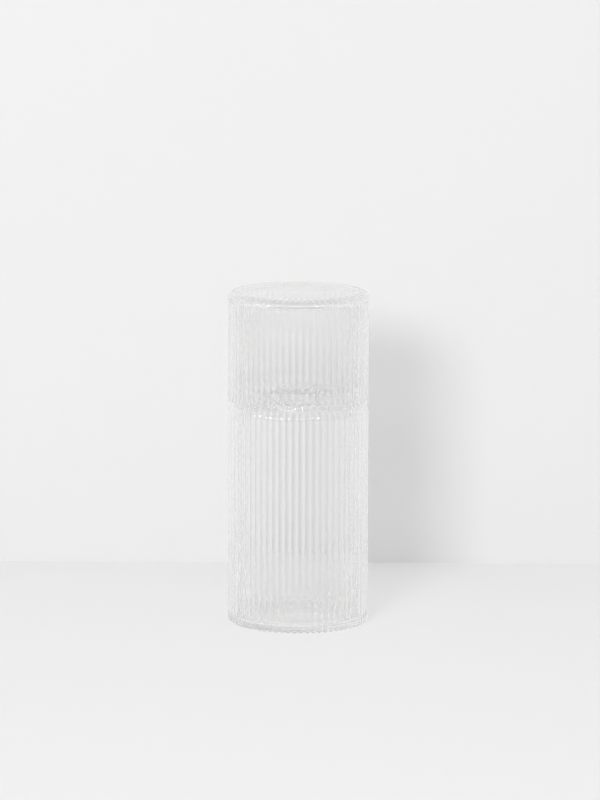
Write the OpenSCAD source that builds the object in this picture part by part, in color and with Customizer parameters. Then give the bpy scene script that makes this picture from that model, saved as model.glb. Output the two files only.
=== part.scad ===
// Bedside set of clear reeded glass, all sizes in mm: a straight carafe with a rounded
// shoulder and a short neck, and the tumbler that stands upside down over the neck with
// its rim on the shoulder. Both stand on the Z axis, the carafe's bottom at Z = 0.
// Each piece is one melt of glass: a smooth shell made by turning a profile, and a ring of
// round-backed ribs that climb the wall and curl over its corners. A rib is a thin slice
// of a round bar. It is wider than the space between two ribs, so that neighbours meet in
// a sharp valley, and its flat underside is buried in the shell.

/* [Both pieces] */
// Diameter of the carafe and the tumbler, across the crests of the ribs
body_d = 76; // [60:0.5:100]
// Ribs round each piece
rib_count = 66; // [40:1:90]
// Depth of the valleys between the ribs
rib_depth = 0.66; // [0.3:0.01:1]
// Glass from the crest of a rib to the smooth inside of the wall
wall_t = 2.2; // [2:0.1:4]
// Radius of the corner inside, between the wall and the bottom
inside_corner_r = 3.5; // [2:0.1:6]
// Space between the resting rim and the crests of the shoulder
seat_gap = 0.3; // [0.1:0.05:0.5]

/* [Carafe] */
// Height from the table to the top of the shoulder
shoulder_h = 124; // [80:0.5:180]
// Radius of the shoulder's curve, at the crests
shoulder_r = 9; // [6:0.1:14]
// Radius of the corner that the carafe stands on, at the crests
foot_r = 3; // [2:0.1:6]
// Glass in the middle of the bottom
carafe_bottom_t = 3.2; // [2.5:0.1:8]
// Outer diameter of the neck
neck_d = 37.5; // [30:0.5:44]
// Glass round the neck
neck_t = 2.3; // [1.8:0.1:3]
// Height of the mouth over the top of the shoulder
neck_h = 3.2; // [3:0.1:20]
// Radius of the hollow curve at the root of the neck
neck_root_r = 1.4; // [0.6:0.1:1.6]
// Width of the smooth ring between the neck's root and the ends of the ribs
smooth_ring_w = 3.3; // [1:0.1:5]

/* [Tumbler] */
// Height of the tumbler
tumbler_h = 60.5; // [40:0.5:100]
// Radius of the tumbler's bottom corner, at the crests
tumbler_corner_r = 4; // [2:0.1:6]
// Glass in the middle of the tumbler's bottom
tumbler_bottom_t = 3.4; // [2.5:0.1:8]
// Radius of the fire-rounded rim
rim_r = 1.3; // [1.1:0.05:1.8]
// How far the rim swells out past the crests of the ribs
rim_swell = 0.3; // [0:0.05:0.6]

/* [Hidden] */

// Fine steps on what is turned about Z, and fewer on the small rounds
turned_fn = 132;
$fn = 40;
cut_over = 1;

body_r = body_d / 2;
// The round bar that a rib is sliced from passes through the crest and the next valley
half_step = 180 / rib_count;
valley_r = body_r - rib_depth;
valley_drop = body_r - valley_r * cos(half_step);
valley_side = valley_r * sin(half_step);
rib_r = (valley_drop * valley_drop + valley_side * valley_side) / (2 * valley_drop);
// The shell's skin lies below the valleys, and the slice reaches a little below the skin
skin_share = 1.5;
skin_depth = rib_depth * skin_share;
slice_share = 1.8;
slice_t = rib_depth * slice_share;
lap_r = body_r - (skin_depth + wall_t) / 2;
// A rib goes on past the end of a corner by this angle, where it sinks into the shell
sink_angle = 42;

neck_r = neck_d / 2;
mouth_r = neck_r - neck_t;
lip_r = neck_t / 2;
mouth_z = shoulder_h + neck_h;
shoulder_x = body_r - shoulder_r;
shoulder_z = shoulder_h - shoulder_r;
// The ribs run in along the top of the shoulder until the shell has risen over them
ribs_end_r = neck_r + neck_root_r + smooth_ring_w;
shoulder_run = max(shoulder_x - ribs_end_r, 2 * slice_t);
ring_z = shoulder_h + slice_t - skin_depth;

rim_x = body_r + rim_swell - rim_r;
// The rim's round rests on the shoulder's round, so their centres are one slope apart
seat_slope = shoulder_r + rim_r + seat_gap;
rim_z = shoulder_z + sqrt(pow(seat_slope, 2) - pow(rim_x - shoulder_x, 2));
tumbler_top_z = rim_z - rim_r + tumbler_h;

carafe_color = [0.82, 0.88, 0.88, 0.55];
tumbler_color = [0.88, 0.92, 0.94, 0.55];

// One rib cut across, its crest at the origin
module rib_slice() {
    intersection() {
        translate([-rib_r, 0]) circle(r = rib_r);
        translate([-slice_t, -rib_r]) square([slice_t, 2 * rib_r]);
    }
}

module ring_of_ribs() {
    for (i = [0 : rib_count - 1]) rotate([0, 0, i * 360 / rib_count]) children();
}

// The ribs of the straight wall, in one ring that laps into the shell
module reeded_wall(height) {
    linear_extrude(height = height) difference() {
        union() {
            circle(r = body_r - skin_depth, $fn = turned_fn);
            ring_of_ribs() translate([body_r, 0]) rib_slice();
        }
        circle(r = lap_r, $fn = turned_fn);
    }
}

// A rib that curls under a corner on which the piece can stand, from the wall's end at Z = 0
module foot_curl(corner_r) {
    translate([body_r - corner_r, 0, 0])
        rotate([-90, 0, 0])
        rotate_extrude(angle = 90 + sink_angle)
        translate([corner_r, 0])
        rib_slice();
}

// A rib that curls over the shoulder, from the wall's end at Z = 0, and runs in to the neck
module shoulder_curl() {
    translate([shoulder_x, 0, 0]) rotate([90, 0, 0]) rotate_extrude(angle = 90) {
        translate([shoulder_r, 0]) rib_slice();
    }
    translate([shoulder_x, 0, shoulder_r]) rotate([0, -90, 0]) {
        linear_extrude(height = shoulder_run) rib_slice();
    }
}

// Half of the shell's outside, from the corner that it stands on to the end of the wall
module foot_profile(corner_r, top) {
    skin_r = body_r - skin_depth;
    skin_corner_r = corner_r + skin_depth;
    flat_r = skin_r - skin_corner_r;
    square([flat_r, top]);
    translate([0, skin_corner_r]) square([skin_r, top - skin_corner_r]);
    translate([flat_r, skin_corner_r]) circle(r = skin_corner_r);
}

// Half of the hollow over a bottom, with a rounded corner inside
module hollow_profile(bottom, top) {
    inside_r = body_r - wall_t;
    flat_r = inside_r - inside_corner_r;
    corner_z = bottom + inside_corner_r;
    translate([0, bottom]) square([flat_r, top - bottom]);
    translate([0, corner_z]) square([inside_r, top - corner_z]);
    translate([flat_r, corner_z]) circle(r = inside_corner_r);
}

// Half of the carafe's shell above the wall: the shoulder's round, then a gentle rise in
// towards the neck, over which the ribs sink out of sight
module shoulder_profile() {
    ribs_sunk_x = shoulder_x - shoulder_run + slice_t;
    translate([shoulder_x, shoulder_z]) circle(r = shoulder_r - skin_depth);
    polygon([
        [0, shoulder_z - cut_over],
        [shoulder_x, shoulder_z - cut_over],
        [shoulder_x, shoulder_h - skin_depth],
        [ribs_sunk_x, ring_z],
        [0, ring_z]
    ]);
}

// Half of the neck, with a fully rounded lip and a hollow curve at its root
module neck_profile() {
    square([neck_r, mouth_z - lip_r]);
    translate([neck_r - lip_r, mouth_z - lip_r]) circle(r = lip_r);
    difference() {
        translate([0, ring_z - cut_over]) {
            square([neck_r + neck_root_r, neck_root_r + cut_over]);
        }
        translate([neck_r + neck_root_r, ring_z + neck_root_r]) circle(r = neck_root_r);
    }
}

module carafe_profile() {
    difference() {
        union() {
            foot_profile(foot_r, shoulder_z);
            shoulder_profile();
            neck_profile();
        }
        hollow_profile(carafe_bottom_t, shoulder_z);
        // The hollow follows the shoulder outside, then opens into the bore of the neck
        translate([shoulder_x, shoulder_z]) circle(r = shoulder_r - wall_t);
        translate([0, shoulder_z - cut_over]) {
            square([shoulder_x, shoulder_r - wall_t + cut_over]);
        }
        translate([0, shoulder_z]) square([mouth_r, mouth_z + cut_over - shoulder_z]);
    }
}

module carafe() {
    color(carafe_color) {
        rotate_extrude($fn = turned_fn) carafe_profile();
        translate([0, 0, foot_r]) {
            ring_of_ribs() foot_curl(foot_r);
            reeded_wall(shoulder_z - foot_r);
        }
        translate([0, 0, shoulder_z]) ring_of_ribs() shoulder_curl();
    }
}

// The tumbler as it stands by itself, mouth up
module tumbler_upright() {
    rotate_extrude($fn = turned_fn) {
        difference() {
            foot_profile(tumbler_corner_r, tumbler_h - rim_r);
            hollow_profile(tumbler_bottom_t, tumbler_h);
        }
        translate([rim_x, tumbler_h - rim_r]) circle(r = rim_r);
    }
    translate([0, 0, tumbler_corner_r]) {
        ring_of_ribs() foot_curl(tumbler_corner_r);
        reeded_wall(tumbler_h - rim_r - tumbler_corner_r);
    }
}

// Upside down over the neck, and half a rib round from the carafe
module tumbler() {
    color(tumbler_color) translate([0, 0, tumbler_top_z]) mirror([0, 0, 1]) {
        rotate([0, 0, half_step]) tumbler_upright();
    }
}

carafe();
tumbler();
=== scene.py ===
# %% [markdown]
# # A bedside carafe with its tumbler, in clear reeded glass
#
# The set is two pieces of glass: a straight carafe, and the tumbler that stands upside
# down over its neck. The CAD model already has both at their real size. Here each gets
# the fine skin that glass needs, because light bends at every rib, and then a plain
# studio is lit round them.

# %% The frame from the CAD model
from math import atan2, copysign, cos, pi, radians, sin, sqrt, tan

import bmesh
import bpy
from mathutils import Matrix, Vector


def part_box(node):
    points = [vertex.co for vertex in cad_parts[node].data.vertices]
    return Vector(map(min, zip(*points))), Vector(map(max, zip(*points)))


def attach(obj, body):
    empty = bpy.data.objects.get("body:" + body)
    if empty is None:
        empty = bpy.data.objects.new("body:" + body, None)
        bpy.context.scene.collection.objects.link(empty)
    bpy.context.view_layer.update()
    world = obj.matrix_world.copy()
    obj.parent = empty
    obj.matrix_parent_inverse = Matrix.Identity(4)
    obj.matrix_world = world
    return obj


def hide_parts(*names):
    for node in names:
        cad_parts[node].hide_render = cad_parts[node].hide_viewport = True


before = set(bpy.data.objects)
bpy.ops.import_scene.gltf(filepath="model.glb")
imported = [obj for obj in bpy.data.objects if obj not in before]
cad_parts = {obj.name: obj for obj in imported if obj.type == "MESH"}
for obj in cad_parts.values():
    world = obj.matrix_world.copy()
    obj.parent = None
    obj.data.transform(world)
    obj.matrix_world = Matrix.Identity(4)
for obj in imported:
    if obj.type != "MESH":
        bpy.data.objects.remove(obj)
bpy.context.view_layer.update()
MM = 0.001

# %% [markdown]
# ## Where the camera stands
#
# A picture like this is taken from a few metres away with a long lens, so that the
# upright sides of the glass stay nearly parallel. The camera could be placed by eye, but
# the ellipses of the rim and the base say how high it stood: they are a sixth as tall as
# they are wide, so it looks down by about nine and a half degrees.

# %% Camera
CAMERA_BACK = 3000 * MM
CAMERA_ASIDE = -0.45 * MM
CAMERA_HEIGHT = 622.9 * MM
CAMERA_DOWN = radians(9.49)
CAMERA_ROLL = radians(-0.15)
LENS_MM = 253.3
SENSOR_MM = 36
FARTHEST_SEEN = 100


def placed(name, data):
    """Puts a camera, a lamp or a mesh into the scene as an object."""
    made = bpy.data.objects.new(name, data)
    bpy.context.scene.collection.objects.link(made)
    return made


camera_data = bpy.data.cameras.new("camera")
camera_data.lens = LENS_MM
camera_data.sensor_width = SENSOR_MM
camera_data.clip_end = FARTHEST_SEEN
camera = placed("camera", camera_data)
camera.location = (CAMERA_ASIDE, -CAMERA_BACK, CAMERA_HEIGHT)
camera.rotation_mode = "XYZ"
camera.rotation_euler = (pi / 2 - CAMERA_DOWN, CAMERA_ROLL, 0)
bpy.context.scene.camera = camera
print("camera lens", camera_data.lens, "mm, height", round(CAMERA_HEIGHT, 3), "m")

# %% [markdown]
# ## Sizes of the glass
#
# Glass like this is pressed or blown into a reeded mould, so both pieces have the same
# width and the same ribs, and the wall is smooth inside. The heights come from the CAD
# boxes. The rounds and the glass thicknesses are written out here once and named, and
# every curve below is drawn from them.

# %% Sizes shared by both pieces
RIBS = 66
BODY_R = 38 * MM
RIB_DEPTH = 0.66 * MM
WALL = 2.2 * MM
INSIDE_CORNER = 3.5 * MM

HALF_STEP = pi / RIBS
valley_r = BODY_R - RIB_DEPTH
valley_drop = BODY_R - valley_r * cos(HALF_STEP)
VALLEY_SIDE = valley_r * sin(HALF_STEP)
# The round bar that passes through a crest and the valleys at both its sides
RIB_R = (valley_drop**2 + VALLEY_SIDE**2) / (2 * valley_drop)

inside_r = BODY_R - WALL
inside_flat = inside_r - INSIDE_CORNER

MOUTH_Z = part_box("carafe")[1][2]
tumbler_low, tumbler_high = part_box("tumbler")
RIM_Z, TOP_Z = tumbler_low[2], tumbler_high[2]
print("rib round", round(RIB_R / MM, 2), "mm; mouth, rim and top at",
      [round(z / MM, 2) for z in (MOUTH_Z, RIM_Z, TOP_Z)], "mm")

# %% [markdown]
# ## Drawing half a section
#
# A turned shape needs half of its section. The section is a chain of points, and each
# point also carries two facts for later: which way the surface faces there, and how
# deep the reeding is, from 0 on smooth glass to 1 on the wall. They could be guessed
# again from the finished mesh, but the drawing knows them exactly.


# %% Points, arcs and straight runs of a section
def point(r, z, facing=0.0, reed=0.0):
    """One point: radius, height, how many degrees up it faces, and its reeding."""
    return (r, z, radians(facing), reed)


def arc(r, z, radius, start, stop, steps, reed=0.0):
    """A round about (r, z) that bulges out, from one facing to another."""
    points = []
    for i in range(steps + 1):
        facing = radians(start + (stop - start) * i / steps)
        points.append((r + radius * cos(facing), z + radius * sin(facing), facing, reed))
    return points


def hollow_arc(r, z, radius, start, stop, steps):
    """The inside of a round: the glass faces its centre, and it has no ribs."""
    turned = arc(r, z, radius, start, stop, steps)
    return [(at_r, at_z, facing + pi, 0.0) for at_r, at_z, facing, _ in turned]


def run(start, stop, steps):
    """The points between two points of a section, without its ends."""
    return [tuple(a + (b - a) * k / steps for a, b in zip(start, stop))
            for k in range(1, steps)]


def wall_run(start_z, stop_z, steps):
    """The points of the reeded wall between two heights, without its ends."""
    return run(point(BODY_R, start_z, 0, 1), point(BODY_R, stop_z, 0, 1), steps)


print("section tools ready")

# %% [markdown]
# ## The shape of a rib
#
# The ribs are like round bars side by side, which would meet in sharp valleys. But hot
# glass rounds off every sharp edge, so each valley ends in a small hollow round. It is
# what draws the thin bright lines on the wall. All that the next steps need to know of a
# rib is how far its skin lies below the crest, at any distance aside.

# %% The shape of a rib
VALLEY_ROUND = 0.4 * MM

rounds_apart = RIB_R + VALLEY_ROUND
ROUNDS_MEET = VALLEY_SIDE * RIB_R / rounds_apart
VALLEY_MID = RIB_R - sqrt(rounds_apart**2 - VALLEY_SIDE**2)


def rib_drop(side):
    """How far a rib lies below its crest at this distance aside."""
    if abs(side) < ROUNDS_MEET:
        return RIB_R - sqrt(RIB_R**2 - side**2)
    off_valley = min(VALLEY_SIDE - abs(side), VALLEY_ROUND)
    return VALLEY_MID + sqrt(VALLEY_ROUND**2 - off_valley**2)


print("valley depth", round(rib_drop(VALLEY_SIDE) / MM, 2), "mm")

# %% [markdown]
# ## Pressing a rib into a smooth shell
#
# One way is to model a single rib and repeat it, but then each rib's ends have to be
# joined to the smooth glass. Here a smooth shell is made first. Every point of it is then
# pressed in, square to the surface, by as much as the rib has dropped at that angle. So
# the ribs follow every corner by themselves, and they get narrower and shallower towards
# the neck as real ones do. Each point also moves a little way round, so that the points
# lie closer together in the valleys, where the skin turns fastest.

# %% Pressing
STEP_PACKING = 1.5
PRESS_ROUNDS = 4


def press_rib(vert, facing, reed, turn):
    """Moves one point of a spun shell in to where the skin of its rib lies."""
    angle = atan2(vert.co.y, vert.co.x)
    ribs_round = (angle - turn) / (2 * HALF_STEP)
    off_crest = (ribs_round - round(ribs_round)) * 2 * HALF_STEP
    share = min(abs(off_crest) / HALF_STEP, 1.0)
    packed = copysign((1 - (1 - share)**STEP_PACKING) * HALF_STEP, off_crest)
    angle += reed * (packed - off_crest)
    off_crest += reed * (packed - off_crest)
    crest_r, drop = vert.co.xy.length, 0.0
    # As a point sinks it also comes nearer to the crest's line, so this takes a few rounds
    for _ in range(PRESS_ROUNDS):
        side = (crest_r - drop * cos(facing)) * tan(off_crest)
        drop = rib_drop(side)
    flat_r = crest_r - reed * drop * cos(facing)
    # On a full rib the crest's plane is the measure; on smooth glass the circle is
    pressed_r = flat_r * (reed / cos(off_crest) + 1 - reed)
    vert.co.x, vert.co.y = pressed_r * cos(angle), pressed_r * sin(angle)
    vert.co.z -= reed * drop * sin(facing)


print("rib press ready, in", PRESS_ROUNDS, "rounds")

# %% [markdown]
# ## Turning the section
#
# The section could be spun all the way round at once, but so many steps are slow. It is
# much faster to spin a slice as wide as one rib, and then to spin copies of that slice on
# round the axis. Where the copies touch, their points are merged. A spin numbers its
# points and faces a little differently in each run, so they are put in a fixed order. It
# can also turn a shape inside out, so the normals are worked out again at the end.

# %% Spinner for reeded glass
STEPS_PER_RIB = 12
MERGE_WITHIN = 0.001 * MM
SHARPEST_SMOOTH = radians(60)


def spin_upright(shape, parts, angle, steps, copies):
    """Spins parts of a shape about the upright axis, as a skin or as loose copies."""
    bmesh.ops.spin(shape, geom=parts, cent=(0, 0, 0), axis=(0, 0, 1), dvec=(0, 0, 0),
                   angle=angle, steps=steps, use_merge=False, use_normal_flip=False,
                   use_duplicate=copies)


def fix_order(parts, place):
    """Puts the points or the faces of a shape in the order of where they lie."""
    rank = {part: i for i, part in enumerate(sorted(parts, key=place))}
    parts.sort(key=rank.get)


def mesh_piece(name, shape):
    """Writes a shape out as a mesh and puts it into the scene."""
    mesh = bpy.data.meshes.new(name)
    shape.to_mesh(mesh)
    shape.free()
    return placed(name, mesh)


def reeded_shell(name, section, turn=0.0):
    """Spins a closed half section into glass and presses the ribs into its outside."""
    shell = bmesh.new()
    facing_layer = shell.verts.layers.float.new("facing")
    reed_layer = shell.verts.layers.float.new("reed")
    chain = []
    for r, z, facing, reed in section:
        vert = shell.verts.new((r, 0, z))
        vert[facing_layer], vert[reed_layer] = facing, reed
        chain.append(vert)
    edges = [shell.edges.new(pair) for pair in zip(chain, chain[1:])]
    spin_upright(shell, chain + edges, 2 * HALF_STEP, STEPS_PER_RIB, copies=False)
    rib_slice = shell.verts[:] + shell.edges[:] + shell.faces[:]
    spin_upright(shell, rib_slice, 2 * pi, RIBS, copies=True)
    fix_order(shell.verts, lambda vert: tuple(vert.co))
    bmesh.ops.remove_doubles(shell, verts=shell.verts, dist=MERGE_WITHIN)
    fix_order(shell.faces, lambda face: tuple(face.calc_center_median()))
    for vert in shell.verts:
        if vert[reed_layer] > 0:
            press_rib(vert, vert[facing_layer], vert[reed_layer], turn)
    bmesh.ops.recalc_face_normals(shell, faces=shell.faces)
    piece = mesh_piece(name, shell)
    piece.data.shade_smooth()
    piece.data.set_sharp_from_angle(angle=SHARPEST_SMOOTH)
    print(name, "has", len(piece.data.vertices), "points and",
          len(piece.data.polygons), "faces")
    return piece


print("spinner ready,", RIBS * STEPS_PER_RIB, "steps round")

# %% [markdown]
# ## The carafe
#
# From the middle of the bottom outwards the section runs along the flat foot, round the
# corner it stands on, up the wall, over the shoulder and in along its top to the smooth
# ring, up the short neck, over the rounded lip, and back down inside. The ribs start
# under the foot's corner and fade out at the ring round the neck's root.

# %% Carafe section
FOOT_R = 3 * MM
SHOULDER_R = 9 * MM
SHOULDER_Z = 124 * MM
CARAFE_BOTTOM = 3.2 * MM
NECK_R = 18.75 * MM
NECK_WALL = 2.3 * MM
NECK_ROOT = 1.4 * MM
RING_RISE = 0.2 * MM
SMOOTH_RING = 3.3 * MM
THROAT_ROUND = 1.2 * MM
# How many corner radii in from the corner's edge, and how deep the reeding is there
FOOT_FADE = ((6, 0), (1, 0), (0.6, 0.15), (0.3, 0.6))
# Shares of the ring's width inwards and of its rise, and how deep the reeding is there
RING_FADE = ((0, 0.3, 0.75), (0.2, 0.8, 0.25), (0.4, 1, 0))

foot_flat = BODY_R - FOOT_R
shoulder_x = BODY_R - SHOULDER_R
wall_top = SHOULDER_Z - SHOULDER_R
ceiling_z = wall_top + SHOULDER_R - WALL
root_x = NECK_R + NECK_ROOT
ring_x = root_x + SMOOTH_RING
ring_z = SHOULDER_Z + RING_RISE
lip = NECK_WALL / 2
throat_x = NECK_R - NECK_WALL + THROAT_ROUND
crown_edge = point(shoulder_x, SHOULDER_Z, 90, 1)
crown_end = point(ring_x, SHOULDER_Z, 90, 1)

carafe_outside = [
    point(0, 0, -90),
    *[point(foot_flat - radii * FOOT_R, 0, -90, reed) for radii, reed in FOOT_FADE],
    *arc(foot_flat, FOOT_R, FOOT_R, -90, 0, steps=12, reed=1),
    *wall_run(FOOT_R, wall_top, steps=6),
    *arc(shoulder_x, wall_top, SHOULDER_R, 0, 90, steps=18, reed=1),
    *run(crown_edge, crown_end, steps=5),
    *[point(ring_x - inwards * SMOOTH_RING, SHOULDER_Z + rise * RING_RISE, 90, reed)
      for inwards, rise, reed in RING_FADE],
    *hollow_arc(root_x, ring_z + NECK_ROOT, NECK_ROOT, -90, -180, steps=7),
]
carafe_inside = [
    *arc(NECK_R - lip, MOUTH_Z - lip, lip, 0, 180, steps=14),
    *arc(throat_x, ceiling_z + THROAT_ROUND, THROAT_ROUND, 180, 270, steps=6),
    *hollow_arc(shoulder_x, wall_top, SHOULDER_R - WALL, 90, 0, steps=12),
    *hollow_arc(inside_flat, CARAFE_BOTTOM + INSIDE_CORNER, INSIDE_CORNER, 0, -90,
                steps=8),
    point(0, CARAFE_BOTTOM),
]
carafe = reeded_shell("carafe_glass", carafe_outside + carafe_inside)

# %% [markdown]
# ## The tumbler
#
# It is drawn as it stands here, upside down. From the middle of its bottom, now the top
# of the set, the section runs out over the flat disc, round the corner where the ribs
# begin, down the wall, and out a little to the rim. The rim was melted round in a
# flame, which leaves it a touch wider than the wall. Then it goes back up inside.

# %% Tumbler section
CORNER_R = 4 * MM
TUMBLER_BOTTOM = 3.4 * MM
RIM_R = 1.3 * MM
RIM_SWELL = 0.3 * MM
RIM_FLARE = 7 * MM
# How many corner radii in from the corner's edge, and how deep the reeding is there
DISC_FADE = ((4, 0), (0.5, 0), (0.3, 0.15), (0.15, 0.6))
# Shares of the flare's height downwards and of its swell, and the reeding there
FLARE_FADE = ((0, 0, 1), (0.3, 0.1, 1), (0.55, 0.35, 1), (0.75, 0.7, 0.9),
              (0.9, 0.95, 0.35))
# The share of the flare's height at which the rim's round has become the wall inside
RIM_END = 0.6

disc_flat = BODY_R - CORNER_R
corner_z = TOP_Z - CORNER_R
rim_x = BODY_R + RIM_SWELL - RIM_R
rim_z = RIM_Z + RIM_R
flare_z = rim_z + RIM_FLARE
inside_top = TOP_Z - TUMBLER_BOTTOM

tumbler_outside = [
    point(0, TOP_Z, 90),
    *[point(disc_flat - radii * CORNER_R, TOP_Z, 90, reed) for radii, reed in DISC_FADE],
    *arc(disc_flat, corner_z, CORNER_R, 90, 0, steps=14, reed=1),
    *wall_run(corner_z, flare_z, steps=4),
    *[point(BODY_R + swell * RIM_SWELL, flare_z - down * RIM_FLARE, 0, reed)
      for down, swell, reed in FLARE_FADE],
]
tumbler_inside = [
    *arc(rim_x, rim_z, RIM_R, 0, -180, steps=14),
    point(inside_r, flare_z - RIM_END * RIM_FLARE),
    *hollow_arc(inside_flat, inside_top - INSIDE_CORNER, INSIDE_CORNER, 0, 90, steps=8),
    point(0, inside_top),
]
# Its first rib lies half a step round from the carafe's
tumbler = reeded_shell("tumbler_glass", tumbler_outside + tumbler_inside, HALF_STEP)

# %% [markdown]
# ## Each piece rides on its CAD body
#
# The new skins stand for the CAD solids, which stay hidden and do the colliding. The
# tumbler's skin rides on the tumbler's body, so it lifts off with it.

# %% Riding and replacing
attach(carafe, "carafe")
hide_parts("carafe")
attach(tumbler, "tumbler")
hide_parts("tumbler")
print("riding:", carafe.name, tumbler.name)

# %% [markdown]
# ## Writing shader maths as expressions
#
# A material's maths is easier to read as an expression than as a web of nodes. This
# small class wraps a socket, and each operator on it adds the Math node that does it.
# Any other node comes from one method of the tree, and a mix of two shaders, which is
# needed three times, has a short name of its own.


# %% Shader expressions
class Value:
    """A socket of a shader, on which sums and products add their own Math nodes."""

    def __init__(self, tree, socket):
        self.tree, self.socket = tree, socket

    def math(self, operation, other=None, swap=False):
        """Adds one Math node on this value and, if there is one, the other."""
        pair = (other, self) if swap else (self, other)
        inputs = {i: v for i, v in enumerate(pair) if v is not None}
        return self.tree.node("ShaderNodeMath", {"operation": operation}, inputs)["Value"]

    def __add__(self, other):
        return self.math("ADD", other)

    def __rsub__(self, other):
        return self.math("SUBTRACT", other, swap=True)

    def __mul__(self, other):
        return self.math("MULTIPLY", other)

    __radd__, __rmul__ = __add__, __mul__


class Tree:
    """A material's or the world's nodes, cleared and ready for new ones."""

    def __init__(self, owner):
        owner.use_nodes = True
        self.nodes, self.links = owner.node_tree.nodes, owner.node_tree.links
        self.nodes.clear()

    def node(self, kind, settings=None, sockets=None):
        """Adds one node; returns its outputs by name as values."""
        made = self.nodes.new(kind)
        for key, value in (settings or {}).items():
            setattr(made, key, value)
        for key, value in (sockets or {}).items():
            if isinstance(value, Value):
                self.links.new(value.socket, made.inputs[key])
            else:
                made.inputs[key].default_value = value
        return {out.name: Value(self, out) for out in made.outputs if out.enabled}

    def mix_shaders(self, factor, first, second):
        """The first shader where the factor is 0, and the second where it is 1."""
        return self.node("ShaderNodeMixShader", None,
                         {0: factor, 1: first, 2: second})["Shader"]


print("shader tools ready")

# %% [markdown]
# ## Clear glass
#
# Soda-lime glass bends light with an index near 1.52 and has hardly any colour. Its skin
# isn't perfect: glass from a mould has faint waves, longer along the ribs than across
# them, and a fine bloom where it has been wiped. What the camera sees is bent truly. Light
# on its way to the floor and the board is treated more simply. For rays from the lamp the
# glass is a grey film, because the ribs throw part of that light aside and so a soft
# shadow is left. The light of the room comes from all sides, so what the ribs throw aside
# is made up for by their neighbours, and for it the glass is clear. Without that the floor
# under the glass would be far too dark.

# %% Glass finish
GLASS_INDEX = 1.52
CARAFE_CLARITY = 0.985
# The tumbler passes less light than the carafe, though both are the same clear glass:
# painted shade that makes the tumbler read darker
TUMBLER_SHADED_CLARITY = 0.96
LAMP_FILM = (0.745, 0.745, 0.745, 1)
WAVES = {"Scale": 60.0, "Detail": 1.0, "Roughness": 0.4}
WAVES_DRAWN = (1, 1, 0.3)
WAVE_BUMP = {"Strength": 0.05, "Distance": 0.4 * MM}
BLOOM = {"Scale": 160.0, "Detail": 4.0}
BLOOM_LOSS = 0.02
BLOOM_ROUGHNESS = 0.004
# The colour sockets of a Mix node share their names with its others, so they go by number
MIX_FACTOR, MIX_FIRST, MIX_SECOND = 0, 6, 7


def clear_glass(name, clarity_and_shade, seed):
    """Glass that passes this share of the light, a little less where it was wiped; a share
    below the glass's own paints shade into it.
    """
    material = bpy.data.materials.new(name)
    tree = Tree(material)
    place = tree.node("ShaderNodeTexCoord")["Object"]
    spot = tree.node("ShaderNodeMapping", None,
                     {"Vector": place, "Location": seed})["Vector"]
    drawn = tree.node("ShaderNodeMapping", None,
                      {"Vector": spot, "Scale": WAVES_DRAWN})["Vector"]
    waves = tree.node("ShaderNodeTexNoise", None, {"Vector": drawn, **WAVES})["Fac"]
    bloom = tree.node("ShaderNodeTexNoise", None, {"Vector": spot, **BLOOM})["Fac"]
    clean, wiped = [(level,) * 3 + (1,) for level in (clarity_and_shade, clarity_and_shade - BLOOM_LOSS)]
    tint = tree.node("ShaderNodeMix", {"data_type": "RGBA"},
                     {MIX_FACTOR: bloom, MIX_FIRST: clean, MIX_SECOND: wiped})["Result"]
    bump = tree.node("ShaderNodeBump", None, {"Height": waves, **WAVE_BUMP})["Normal"]
    glass = tree.node("ShaderNodeBsdfPrincipled", None, {
        "Base Color": tint, "Roughness": bloom * BLOOM_ROUGHNESS, "IOR": GLASS_INDEX,
        "Transmission Weight": 1.0, "Normal": bump})["BSDF"]
    film = tree.node("ShaderNodeBsdfTransparent", None, {"Color": LAMP_FILM})["BSDF"]
    clear = tree.node("ShaderNodeBsdfTransparent")["BSDF"]
    ray = tree.node("ShaderNodeLightPath")
    shown = tree.mix_shaders(ray["Is Shadow Ray"], glass, film)
    shown = tree.mix_shaders(ray["Is Diffuse Ray"], shown, clear)
    tree.node("ShaderNodeOutputMaterial", None, {"Surface": shown})
    return material


# The carafe's share is its glass's own; the tumbler's lower share is painted shade
for piece, name, clarity_and_shade, seed in (
        (carafe, "carafe_clear_glass", CARAFE_CLARITY, (0, 0, 0)),
        (tumbler, "tumbler_glass_painted_shade", TUMBLER_SHADED_CLARITY, (3, 1, 2))):
    piece.data.materials.append(clear_glass(name, clarity_and_shade, seed))
    print(piece.name, "is finished in", piece.data.materials[0].name)

# %% [markdown]
# ## The studio
#
# The set stands on a pale floor, in front of a pale board. The board is close behind it,
# so that the shadow falls on it too. The floor lies a hair below the glass. If both were
# at the same height, a ray through the bottom couldn't tell which of them it meets.

# %% Floor and board
FLOOR_Z = -0.1 * MM
FLOOR_HALF = 12.0
BOARD_Y = 163.5 * MM
BOARD_HALF = 0.5
BOARD_TALL = 0.8


def sheet(name, corners):
    """A flat stage surface through four corners."""
    plane = bmesh.new()
    plane.faces.new([plane.verts.new(corner) for corner in corners])
    surface = mesh_piece(name, plane)
    return surface


floor = sheet("studio_floor", [(x * FLOOR_HALF, y * FLOOR_HALF, FLOOR_Z)
                               for x, y in ((-1, -1), (1, -1), (1, 1), (-1, 1))])
board = sheet("studio_board", [(x * BOARD_HALF, BOARD_Y, z)
                               for x, z in ((-1, FLOOR_Z), (1, FLOOR_Z),
                                            (1, BOARD_TALL), (-1, BOARD_TALL))])
print("stage:", floor.name, board.name)

# %% [markdown]
# ## Pale paint
#
# Floor and board are matt and nearly white. Pure white would look washed out where the
# lamp is nearest, so the paint is a step darker, and the lamp and the room do the rest.
# The board is painted on the front only. From behind it is clear, so that a camera that
# walks round behind it still sees the glass.

# %% Paint on the floor and the board
PAPER = (0.86, 0.86, 0.86, 1)


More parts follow.
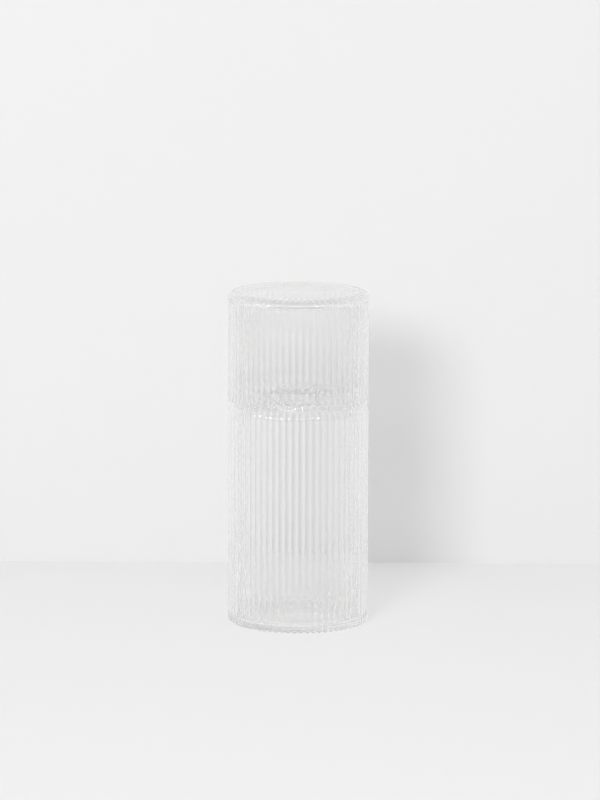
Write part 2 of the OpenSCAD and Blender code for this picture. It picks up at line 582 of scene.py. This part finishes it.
def pale_paint(name, one_sided):
    """Matt paint, which can be left clear from behind."""
    material = bpy.data.materials.new(name)
    tree = Tree(material)
    paint = tree.node("ShaderNodeBsdfDiffuse", None, {"Color": PAPER})["BSDF"]
    if one_sided:
        clear = tree.node("ShaderNodeBsdfTransparent")["BSDF"]
        behind = tree.node("ShaderNodeNewGeometry")["Backfacing"]
        paint = tree.mix_shaders(behind, paint, clear)
    tree.node("ShaderNodeOutputMaterial", None, {"Surface": paint})
    return material


floor.data.materials.append(pale_paint("floor_paint", one_sided=False))
board.data.materials.append(pale_paint("board_paint", one_sided=True))
print("board faces", tuple(round(v) for v in board.data.polygons[0].normal))

# %% [markdown]
# ## The lamp
#
# One soft lamp stands at the front left, a little higher than the glass and well back, so
# that the board is lit evenly. How wide and how tall it is can be read off the shadow on
# the board, from how slowly its side and its top fade. The same lamp draws the short
# glints on the ribs.

# %% Lamp
KEY_AZIMUTH = radians(-15)
KEY_RISE = radians(19)
KEY_BACK = 3.5
KEY_WIDE, KEY_TALL = 0.76, 0.64
KEY_WATTS = 43.5
AIM_HEIGHT = 90 * MM

toward = Vector((sin(KEY_AZIMUTH) * cos(KEY_RISE), -cos(KEY_AZIMUTH) * cos(KEY_RISE),
                 sin(KEY_RISE)))
key_data = bpy.data.lights.new("key", "AREA")
key_data.shape = "RECTANGLE"
key_data.size, key_data.size_y = KEY_WIDE, KEY_TALL
key_data.energy = KEY_WATTS
key = placed("key", key_data)
key.location = Vector((0, 0, AIM_HEIGHT)) + toward * KEY_BACK
key.rotation_mode = "QUATERNION"
key.rotation_quaternion = toward.to_track_quat("Z", "Y")
print("lamp at", [round(v, 2) for v in key.location])

# %% [markdown]
# ## The room
#
# The room is bright overhead, which lights the floor, and duller at eye level. What the
# glass shows of the room has one plain level, a step darker than the board: glass has no
# colour of its own, so its ribs can be seen only where they gather light from darker
# places. The room's light isn't aimed for as a lamp's is. Rays that leave the floor and
# the board meet it by themselves, so that it passes the glass as clear.

# %% Room
EYE_LEVEL = 0.4
OVERHEAD = 1.25
SEEN_LEVEL = 0.69

world = bpy.data.worlds.new("room")
bpy.context.scene.world = world
world.cycles.sampling_method = "NONE"
tree = Tree(world)
heading = tree.node("ShaderNodeTexCoord")["Generated"]
rise = tree.node("ShaderNodeSeparateXYZ", None, {"Vector": heading})["Z"]
up = rise.math("MAXIMUM", 0)
lighting = up * up * OVERHEAD + EYE_LEVEL
ray = tree.node("ShaderNodeLightPath")
seen = (ray["Is Camera Ray"] + ray["Is Glossy Ray"]
        + ray["Is Transmission Ray"]).math("MINIMUM", 1)
level = seen * SEEN_LEVEL + (1 - seen) * lighting
room = tree.node("ShaderNodeBackground", None, {"Strength": level})["Background"]
tree.node("ShaderNodeOutputWorld", None, {"Surface": room})
bpy.context.scene.view_settings.view_transform = "Standard"
print("room: eye level", EYE_LEVEL, "overhead", EYE_LEVEL + OVERHEAD, "seen", SEEN_LEVEL)

# %% [markdown]
# ## How often light may bend
#
# Light goes back and forth many times between the ribs and the smooth inside before it
# gets out. With the usual limits such a ray is cut off and leaves a black streak, so the
# limits are raised here. Light on its way to the floor passes several walls of film, and
# has a limit of its own.

# %% Bounces in the glass
GLASS_BOUNCES = 48
FILMS_PASSED = 16

paths = bpy.context.scene.cycles
paths.max_bounces = paths.glossy_bounces = paths.transmission_bounces = GLASS_BOUNCES
paths.transparent_max_bounces = FILMS_PASSED
print("bounces in the glass:", GLASS_BOUNCES, "and films:", FILMS_PASSED)
